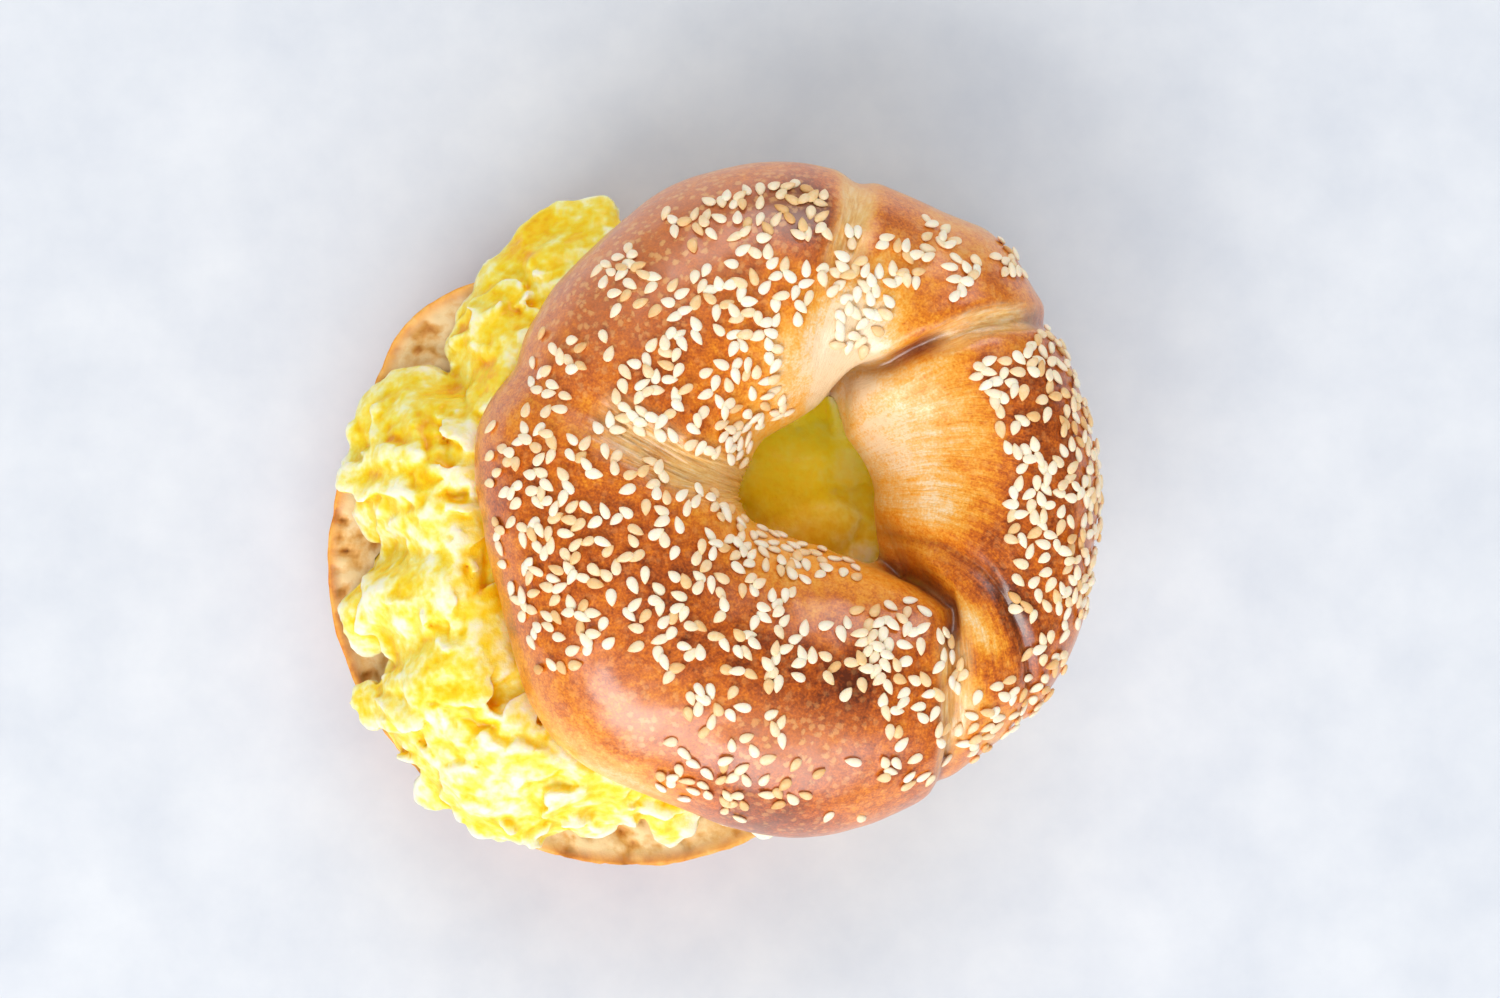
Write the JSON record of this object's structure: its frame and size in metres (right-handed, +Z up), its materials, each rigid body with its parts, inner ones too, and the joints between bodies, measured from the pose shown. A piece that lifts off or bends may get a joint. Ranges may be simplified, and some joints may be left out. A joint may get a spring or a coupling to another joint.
{
  "type": "bagel sandwich",
  "caption": "Sesame bagel sandwich with scrambled egg: a twisted ring-shaped top half, slid to one side and tilted, on a heap of folded egg that spills over the rim of the bottom half.",
  "frame": {"origin": "on the surface that the sandwich stands on, below the middle of its bounding box", "axes": "+Z up through the sandwich; +X the way that the top half has slid and tilts down; +Y across"},
  "size_m": [0.147, 0.1335, 0.0651],
  "materials": {
    "bagel_top": "baked crust, golden to deep brown, slightly glossy, with cream sesame seeds",
    "egg": "soft moist scrambled egg, bright yellow",
    "bagel_bottom": "baked crust with a toasted cut face"
  },
  "bodies": {
    "root": {"bagel_top": "bagel_top", "egg": "egg", "bagel_bottom": "bagel_bottom"}
  },
  "joints": []
}
